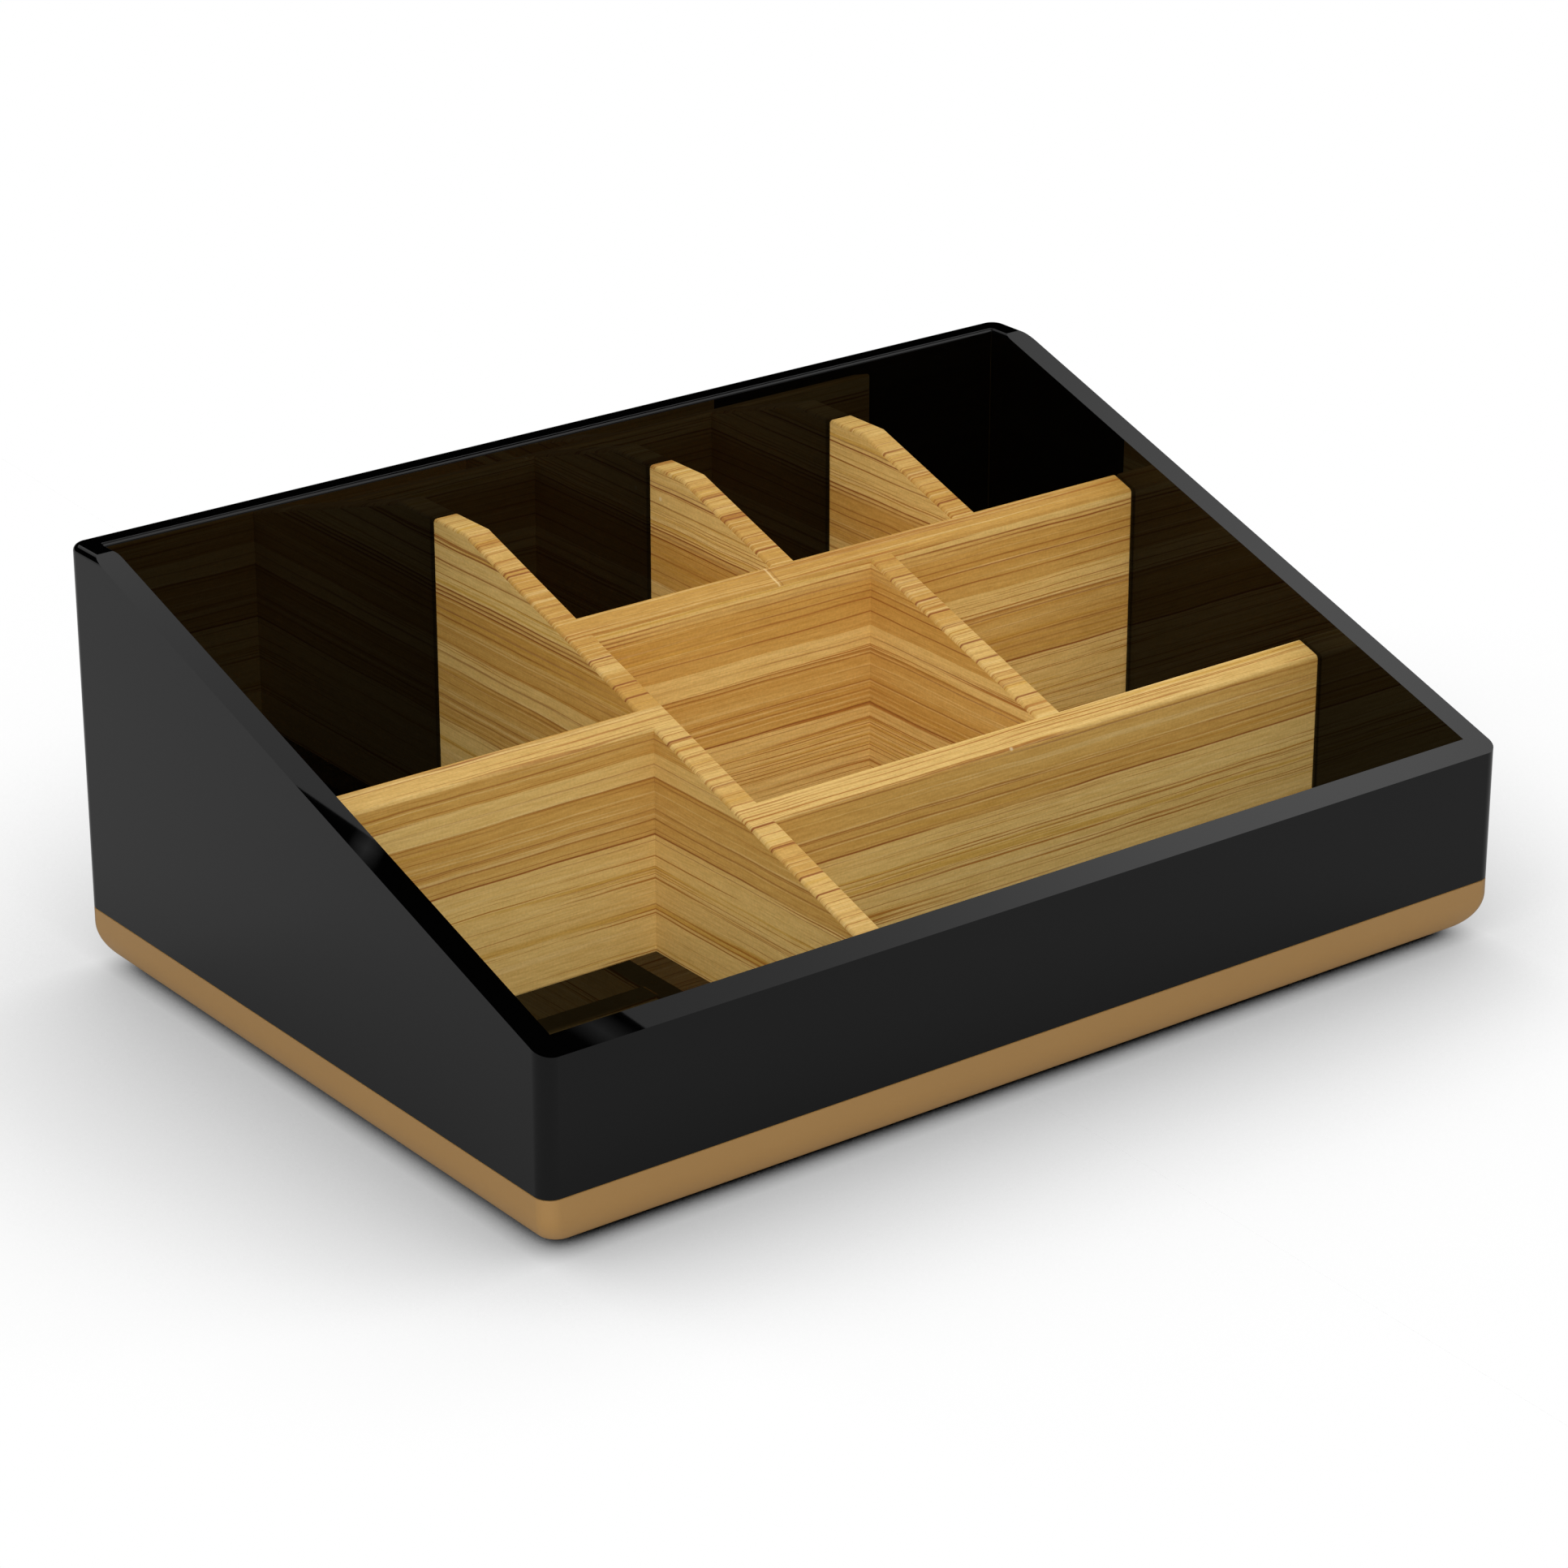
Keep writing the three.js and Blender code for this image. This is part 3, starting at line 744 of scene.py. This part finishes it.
# %% [markdown]
# ## One board, by rule
#
# The seven boards differ only in where they start and end. All have the same thickness and the same
# rounded top edges, and their tops lie in one slanted plane that turns level near the back wall. Seven
# meshes could be drawn by hand. A Geometry Nodes tree states the rule once: sweep a rounded section along
# a line, then lift its upper half to the plane. One point of the line is moved to the knee where the
# plane turns level, which keeps the knee crisp. The sweep lays the section upside down, so its lower
# corners get the top round.

# %% Board path
board_tree, given, made = new_group(
    "bamboo_board", "GeometryNodeTree",
    {"Vector": ("From", "To"),
     "Float": ("Thickness", "Bottom", "Slope", "Slope Height", "Level Top", "Top Round", "Bottom Round",
               "Step"),
     "Material": ("Finish",)},
    {"Geometry": ("Board",)})
path = add_node(board_tree, "GeometryNodeCurvePrimitiveLine", Start=given["From"], End=given["To"])
stations = add_node(board_tree, "GeometryNodeResampleCurve", {"mode": "LENGTH"},
                    Curve=path.outputs[0], Length=given["Step"])
position = add_node(board_tree, "GeometryNodeInputPosition").outputs[0]
spot = add_node(board_tree, "ShaderNodeSeparateXYZ", Vector=position).outputs
rise = math_node(board_tree, "SUBTRACT", given["Level Top"], given["Slope Height"])
knee = math_node(board_tree, "DIVIDE", rise, given["Slope"])
to_knee = math_node(board_tree, "SUBTRACT", knee, spot["Y"])
half_step = math_node(board_tree, "MULTIPLY", given["Step"], 0.5)
near = math_node(board_tree, "LESS_THAN", math_node(board_tree, "ABSOLUTE", to_knee), half_step)
crisp = add_node(board_tree, "GeometryNodeSetPosition", Geometry=stations.outputs[0], Selection=near,
                 Offset=vector_of(board_tree, Y=to_knee))
print("board path:", len(board_tree.nodes), "nodes")

# %% Board section and top
half_section = 10 * mm
section = add_node(board_tree, "GeometryNodeCurvePrimitiveQuadrilateral", Width=given["Thickness"],
                   Height=2 * half_section)
turned_up = math_node(board_tree, "LESS_THAN", spot["Y"], 0.0)
edge_round = mixed(board_tree, turned_up, given["Bottom Round"], given["Top Round"])
rounded = add_node(board_tree, "GeometryNodeFilletCurve", {"mode": "POLY"}, Curve=section.outputs[0],
                   Count=6, Radius=edge_round)
sweep = add_node(board_tree, "GeometryNodeCurveToMesh", Curve=crisp.outputs[0],
                 Profile_Curve=rounded.outputs[0], Fill_Caps=True)

slanted = math_node(board_tree, "MULTIPLY_ADD", spot["Y"], given["Slope"], given["Slope Height"])
top = math_node(board_tree, "MINIMUM", slanted, given["Level Top"])
is_top = math_node(board_tree, "GREATER_THAN", spot["Z"], 0.0)
lift = mixed(board_tree, is_top, math_node(board_tree, "ADD", given["Bottom"], half_section),
             math_node(board_tree, "SUBTRACT", top, half_section))
lifted = add_node(board_tree, "GeometryNodeSetPosition", Geometry=sweep.outputs[0],
                  Offset=vector_of(board_tree, Z=lift))


def coat(tree, geometry, finish, end):
    """The end of a tree: real geometry, with its finish."""
    real = add_node(tree, "GeometryNodeRealizeInstances", Geometry=geometry)
    coated = add_node(tree, "GeometryNodeSetMaterial", Geometry=real.outputs[0], Material=finish)
    plug(tree, end, coated.outputs[0])


coat(board_tree, lifted.outputs[0], given["Finish"], made["Board"])
print("board tree:", len(board_tree.nodes), "nodes")

# %% [markdown]
# ## Setting a tree's inputs
#
# A modifier stores its tree's inputs under each socket's identifier, not under its name, so a small
# helper looks the identifier up. It sets all of them before the result is first asked for, and then keeps
# that result as a mesh.

# %% From tree to mesh
def grown(name, tree, **inputs):
    piece = bpy.data.objects.new(name, bpy.data.meshes.new(name))
    bpy.context.scene.collection.objects.link(piece)
    modifier = piece.modifiers.new(tree.name, "NODES")
    modifier.node_group = tree
    for socket in tree.interface.items_tree:
        if socket.in_out == "INPUT":
            modifier[socket.identifier] = inputs[socket.name.replace(" ", "_")]
    settle(piece)
    piece.data.name = name
    return piece


print("trees can be grown into meshes")

# %% [markdown]
# ## The grid of boards
#
# Each board takes its ends from its solid. An end that meets a wall has a larger round than the top
# edges, which the tree doesn't know, so it is bevelled on the mesh. An end that meets another board runs
# on by one top edge's round, so that the two tops meet flush and their rounds make a clean inside corner.
# At last each face is marked: the top and the upper part of its rounds show the wood from above.

# %% Board sizes
board_round = 1.0 * mm
bottom_round = 0.8 * mm
end_round = 2.2 * mm
board_step = 4 * mm
tongue = 2.5 * mm
below_rim = 11.3 * mm
top_facing = 0.35
slope_height = front_rim + rim_slope * half_depth - below_rim
long_low, long_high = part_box("long_divider")
thickness = long_high[0] - long_low[0]

# The way each board runs, and whether it meets a wall at its start and at its end.
boards = {
    "long_divider": ("y", True, True),
    "left_cross_divider": ("x", True, False),
    "rear_cross_divider": ("x", False, True),
    "front_cross_divider": ("x", False, True),
    "rear_left_short_divider": ("y", False, True),
    "rear_right_short_divider": ("y", False, True),
    "middle_short_divider": ("y", False, False),
}
print("boards: %d, %.1f mm thick" % (len(boards), 1000 * thickness))

# %% Board ends and tops
touching = 0.01 * mm


def rounded_end(mesh, axis, at):
    form = bmesh.new()
    form.from_mesh(mesh)
    rim = [edge for edge in form.edges if all(abs(vert.co[axis] - at) < touching for vert in edge.verts)]
    bmesh.ops.bevel(form, geom=rim, offset=end_round, segments=6, profile=0.5, affect="EDGES",
                    clamp_overlap=True)
    form.to_mesh(mesh)
    form.free()


def mark_tops(mesh):
    """Notes on each face whether it belongs to the top, where the bamboo's pattern goes by depth."""
    marks = mesh.attributes.new("on_top", "FLOAT", "FACE")
    for face in mesh.polygons:
        marks.data[face.index].value = face.normal.z > top_facing


print("wall ends are rounded by %.1f mm" % (1000 * end_round))

# %% Boards
for node, (along, wall_at_start, wall_at_end) in boards.items():
    low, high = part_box(node)
    axis = "xyz".index(along)
    start = low[axis] if wall_at_start else low[axis] + tongue - board_round
    end = high[axis] if wall_at_end else high[axis] - tongue + board_round
    middle = [(low[i] + high[i]) / 2 for i in (0, 1)]
    ends = [[*middle, 0], [*middle, 0]]
    ends[0][axis] = start
    ends[1][axis] = end
    piece = grown(
        "bamboo_" + node, board_tree, From=ends[0], To=ends[1], Thickness=thickness, Bottom=long_low[2],
        Slope=rim_slope, Slope_Height=slope_height, Level_Top=long_high[2], Top_Round=board_round,
        Bottom_Round=bottom_round, Step=board_step, Finish=bamboo)
    for at_wall, at in ((wall_at_start, start), (wall_at_end, end)):
        if at_wall:
            rounded_end(piece.data, axis, at)
    keep_flats_flat(piece.data)
    true_flats(piece)
    mark_tops(piece.data)
    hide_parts(node)
    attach(piece, "divider_grid")
    print("%s: %.1f mm long, %d faces" % (node, 1000 * (end - start), len(piece.data.polygons)))

# %% [markdown]
# ## Feet and screws, one of each and four corners
#
# Four rubber feet and four screws sit in the base's recesses. Eight pieces could be placed one by one.
# Instead one foot and one screw are drawn as turned profiles, as on a lathe, and a second small tree sets
# a piece at the four corners of a rectangle. It serves both.

# %% Corner tree
corner_tree, given, made = new_group(
    "four_corners", "GeometryNodeTree",
    {"Object": ("Piece",), "Float": ("Spacing X", "Spacing Y"), "Material": ("Finish",)},
    {"Geometry": ("Pieces",)})
grid = add_node(corner_tree, "GeometryNodeMeshGrid", Size_X=given["Spacing X"],
                Size_Y=given["Spacing Y"], Vertices_X=2, Vertices_Y=2)
sample = add_node(corner_tree, "GeometryNodeObjectInfo", Object=given["Piece"], As_Instance=True)
copies = add_node(corner_tree, "GeometryNodeInstanceOnPoints", Points=grid.outputs[0],
                  Instance=sample.outputs["Geometry"])
coat(corner_tree, copies.outputs[0], given["Finish"], made["Pieces"])
print("corner tree:", len(corner_tree.nodes), "nodes")

# %% Turned pieces
def turned(profile, steps):
    """Rings round the Z axis, from pairs of a radius, or a rule for it by angle, and a height."""
    rings = []
    for radius, z in profile:
        ring = []
        for i in range(steps):
            angle = 2 * pi * i / steps
            out = radius(angle) if callable(radius) else radius
            ring.append((out * cos(angle), out * sin(angle), z))
        rings.append(ring)
    return loft(rings)


def at_four_corners(name, form, material, x, y):
    one = finished("one_of_" + name, form, material)
    pieces = grown(name, corner_tree, Piece=one, Spacing_X=2 * x, Spacing_Y=2 * y, Finish=material)
    bpy.data.objects.remove(one)
    keep_flats_flat(pieces.data)
    return pieces


print("feet %.0f mm apart, screws %.0f mm" % (2000 * foot_x, 2000 * screw_x))

# %% Feet
foot_radius = (foot_high[0] - foot_low[0]) / 2
foot_top = foot_high[2]
foot_edge = 0.4 * mm
ring_lip = 0.35 * mm
ring_bed = 0.15 * mm
ring_depth = 0.25 * mm

profile = [(foot_radius, foot_top)]
profile += [(foot_radius - across, foot_edge - along) for across, along in quarter(foot_edge, steps=6)]
for ring_radius in (6.0 * mm, 4.2 * mm, 2.4 * mm):
    profile += [(ring_radius + ring_lip, 0), (ring_radius + ring_bed, ring_depth),
                (ring_radius - ring_bed, ring_depth), (ring_radius - ring_lip, 0)]
feet = at_four_corners("anti_slip_feet", turned(profile, steps=64), foot_rubber, foot_x, foot_y)
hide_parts(*[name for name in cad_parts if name.startswith("foot_")])
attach(feet, "tray")
print("feet:", len(feet.data.polygons), "faces")

# %% Screws
head_radius = (screw_high[0] - screw_low[0]) / 2
head_bottom = screw_low[2]
head_top = head_bottom + 1.2 * mm
head_edge = 0.35 * mm
screw_top = screw_high[2]
shank = 1.5 * mm
shank_tip = 0.2 * mm
slot_depth = 0.7 * mm
almost_zero = 1e-6


def cross_slot(length, width):
    """A rule for the radius of a cross with two arms, by angle."""
    def reach_at(angle):
        c = max(abs(cos(angle)), almost_zero)
        s = max(abs(sin(angle)), almost_zero)
        return max(min(length / c, width / s), min(width / c, length / s))
    return reach_at


profile = [(shank_tip, screw_top), (shank, screw_top - shank), (shank, head_top), (head_radius, head_top)]
profile += [(head_radius - across, head_bottom + head_edge - along)
            for across, along in quarter(head_edge, steps=5)]
profile += [(cross_slot(length=1.6 * mm, width=0.4 * mm), head_bottom),
            (cross_slot(length=1.3 * mm, width=0.3 * mm), head_bottom + slot_depth)]
screws = at_four_corners("base_screws", turned(profile, steps=96), screw_steel, screw_x, screw_y)
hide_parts(*[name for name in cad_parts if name.startswith("screw_")])
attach(screws, "tray")
print("screws:", len(screws.data.polygons), "faces")

# %% [markdown]
# ## The floor
#
# The photo's floor is pure white, with a soft shadow all round the tray that is darkest at the base's
# edge. A lit white plane would turn grey wherever the lamps don't reach. So the eye sees a white glow,
# dimmed by how much of the sky the tray hides from each spot, which is what ambient occlusion measures. A
# mirror sees the same floor at about half that brightness, and for all other light it stays a plain white
# disc.

# %% Floor finish
floor_reach = 0.3
mirrored_white = 0.53

# The shares of open sky where the shadow is black and white, and how bright it is at two shares between.
black_to = 0.13
white_from = 0.92
shadow_steps = ((0.3, 0.3), (0.8, 0.8))


def seen_directly(tree):
    """1 for what the eye, a mirror or a clear piece sees, and 0 for light that the surface passes on."""
    rays = add_node(tree, "ShaderNodeLightPath").outputs
    seen_in = math_node(tree, "MAXIMUM", rays["Is Glossy Ray"], rays["Is Transmission Ray"])
    return math_node(tree, "MAXIMUM", rays["Is Camera Ray"], seen_in)


floor_white = bpy.data.materials.new("floor_white")
floor_white.use_nodes = True
tree = floor_white.node_tree
tree.nodes.remove(tree.nodes["Principled BSDF"])
plain = add_node(tree, "ShaderNodeBsdfDiffuse", Color=(0.97, 0.97, 0.97, 1))
open_sky = add_node(tree, "ShaderNodeAmbientOcclusion", {"samples": 16}, Distance=floor_reach)
soft_shadow = add_node(tree, "ShaderNodeValToRGB", Fac=open_sky.outputs["AO"])
stops = soft_shadow.color_ramp.elements
for share, brightness in shadow_steps:
    stops.new(share).color = (brightness, brightness, brightness, 1)
stops[0].position = black_to
stops[-1].position = white_from
mirrored = add_node(tree, "ShaderNodeLightPath").outputs["Is Glossy Ray"]
shown = add_node(tree, "ShaderNodeEmission", Color=soft_shadow.outputs["Color"],
                 Strength=between(tree, mirrored, 1.0, mirrored_white))
shader = add_node(tree, "ShaderNodeMixShader", Fac=seen_directly(tree))
plug(tree, shader.inputs[1], plain.outputs[0])
plug(tree, shader.inputs[2], shown.outputs[0])
plug(tree, tree.nodes["Material Output"].inputs["Surface"], shader.outputs[0])
floor_white.cycles.emission_sampling = "NONE"
print("floor finish:", len(tree.nodes), "nodes")

# %% Floor disc
floor_radius = 30
form = bmesh.new()
bmesh.ops.create_circle(form, cap_ends=True, segments=128, radius=floor_radius)
floor = finished("floor", form, floor_white)
print("floor: %d m across" % (2 * floor_radius))

# %% [markdown]
# ## The sky
#
# An even sky gives the soft light from all round. To the eye it is white, like the photo's background.
# The photo's polished rims are nearly black, though, so no bright sky is mirrored in them. The sky could
# be painted dark above, but then it would light the boards less. Here it is left out of mirror
# reflections.

# %% Sky
sky_level = 0.6
sky = bpy.data.worlds.new("studio_sky")
sky.use_nodes = True
tree = sky.node_tree
light = tree.nodes["Background"]
light.inputs["Color"].default_value = (1, 1, 1, 1)
plug(tree, light.inputs["Strength"], between(tree, seen_directly(tree), sky_level, 1.0))
bpy.context.scene.world = sky
sky.cycles_visibility.glossy = False
print("sky level:", sky_level)

# %% [markdown]
# ## Softboxes
#
# A softbox is an area lamp. It could be given a place, a turn and a power, but what counts for a picture
# is how it looks from the tray: in which direction it stands, between which heights, how wide it is and
# how bright. So the helper takes these, and works out the rest. Each lamp is linked to the pieces it is
# meant for, so that the floor keeps its even shadow.

# %% Lit pieces and softboxes
def collected(name, members):
    group = bpy.data.collections.new(name)
    for piece in members:
        group.objects.link(piece)
    return group


pieces = collected("organizer", [piece for piece in bpy.data.objects
                                 if piece.type == "MESH" and piece is not floor])
gloss_pieces = collected("gloss_pieces", [tray_shell])
wood_pieces = collected("wood_pieces", [bpy.data.objects["bamboo_" + node] for node in boards])


def softbox(name, lit, turn, low, high, spread, radiance, distance=12, shadow=True, mirrored=True):
    """A lamp that faces the tray, between two heights seen from it in degrees."""
    lamp = bpy.data.lights.new(name, "AREA")
    lamp.shape = "RECTANGLE"
    lamp.size = 2 * distance * tan(radians(spread / 2))
    lamp.size_y = 2 * distance * tan(radians((high - low) / 2))
    lamp.energy = radiance * pi * lamp.size * lamp.size_y
    lamp.use_shadow = shadow
    middle = radians((low + high) / 2)
    away = Vector((cos(middle) * cos(radians(turn)), cos(middle) * sin(radians(turn)), sin(middle)))
    box = bpy.data.objects.new(name, lamp)
    box.location = away * distance
    box.rotation_euler = away.to_track_quat("Z", "Y").to_euler()
    box.visible_glossy = mirrored
    box.light_linking.receiver_collection = lit
    bpy.context.scene.collection.objects.link(box)
    print("%s: %.1f x %.1f m, %.0f W" % (name, lamp.size, lamp.size_y, lamp.energy))
    return box


# %% [markdown]
# ## Fills
#
# In the photo the boards are nearly as bright deep in the tray as at the top. The sky alone leaves the
# compartments dark. A stronger sky would wash out the rest, so five fills without shadows reach into
# them: from the camera's side, from below it and from the back for all pieces, and from above and from
# low behind for the boards, whose backs are only seen mirrored in the tray's walls.

# %% Fill lamps
softbox("front_fill", pieces, turn=223, low=12, high=48, spread=60, radiance=1.32, distance=1.2,
        shadow=False)
for name, lit, turn, low, high, spread, radiance, distance in (
        ("low_fill", pieces, 227, -46, -10, 60, 1.5, 12),
        ("back_fill", pieces, 45, 20, 56, 60, 3.2, 12),
        ("top_fill", wood_pieces, -60, 58, 78, 20, 2.1, 0.26),
        ("mirror_fill", wood_pieces, 62, -6, 18, 60, 1.6, 12)):
    softbox(name, lit, turn, low, high, spread, radiance, distance, shadow=False, mirrored=False)

# %% [markdown]
# ## Lamps for the polished rims
#
# The rims are flat mirrors, so what they show is a picture of the lamps. The right and the front rim
# mirror the long rim softbox, which ends just where the photo's rims turn black, and two small lamps give
# the glints near the front left corner. They stand very far away, so that every spot of a rim sees them
# in the same direction. Three more softboxes do the same for the rounded edges and for views from other
# sides.

# %% Rim lamps
far = 600
rim_box = softbox("rim_softbox", gloss_pieces, turn=30, low=36, high=51.76, spread=40.2, radiance=0.69,
                  distance=far)
front_glint = softbox("front_glint", gloss_pieces, turn=33.4, low=51.8, high=52.24, spread=2.6,
                      radiance=0.085, distance=far)
left_glint = softbox("left_glint", gloss_pieces, turn=38.9, low=51.2, high=51.9, spread=0.45,
                     radiance=0.117, distance=far)
softbox("back_softbox", gloss_pieces, turn=118, low=34, high=56, spread=90, radiance=0.6)
softbox("overhead_softbox", gloss_pieces, turn=270, low=46, high=110, spread=60, radiance=0.55)
front_box = softbox("front_softbox", gloss_pieces, turn=-55, low=12, high=56, spread=60, radiance=1.6)
front_box.visible_diffuse = False

# %% [markdown]
# ## Soft light within a lamp
#
# An even lamp mirrors as a flat patch with hard edges. The photo's glints fade out at their edges, and
# its rims are paler in two places. A lamp can have nodes too: their Parametric coordinates run from 0 to
# 1 across it, and the emission's strength can follow any rule of them.

# %% Feathered glints
def lamp_tree(box):
    box.data.use_nodes = True
    tree = box.data.node_tree
    across = add_node(tree, "ShaderNodeNewGeometry").outputs["Parametric"]
    return tree, across, tree.nodes["Emission"].inputs["Strength"]


def feather(box):
    """Fades a lamp from four times its mean in the middle to nothing at its edges."""
    tree, across, strength = lamp_tree(box)
    share = add_node(tree, "ShaderNodeSeparateXYZ", Vector=across).outputs
    ramps = [math_node(tree, "MULTIPLY", math_node(tree, "PINGPONG", share[way], 0.5), 4.0) for way in "XY"]
    plug(tree, strength, math_node(tree, "MULTIPLY", *ramps))


for glint in (front_glint, left_glint):
    feather(glint)
    print("feathered:", glint.name)

# %% Gradient of the rim softbox
glow_radius = 48.3
glow_gain = 1.35
tree, across, strength = lamp_tree(rim_box)


def glow(u, v):
    """A soft round patch on the lamp, at a place given as shares of its width and height."""
    per_radius = (rim_box.data.size / glow_radius, rim_box.data.size_y / glow_radius, 0)
    from_middle = vector_node(tree, "SUBTRACT", across, (u, v, 0))
    in_radii = vector_node(tree, "MULTIPLY", from_middle, per_radius)
    squared = vector_node(tree, "DOT_PRODUCT", in_radii, in_radii, result="Value")
    return math_node(tree, "EXPONENT", math_node(tree, "MULTIPLY", squared, -1.0))


hot = math_node(tree, "ADD", glow(0.4325, 0.574), glow(0.829, 0.808))
plug(tree, strength, math_node(tree, "MULTIPLY_ADD", hot, glow_gain, 1.0))
print("rim softbox:", len(tree.nodes), "nodes")

# %% [markdown]
# ## The view transform
#
# The Standard view shows each colour as it was written. Filmic views would soften the whites, which are
# meant to be white.

bpy.context.scene.view_settings.view_transform = "Standard"
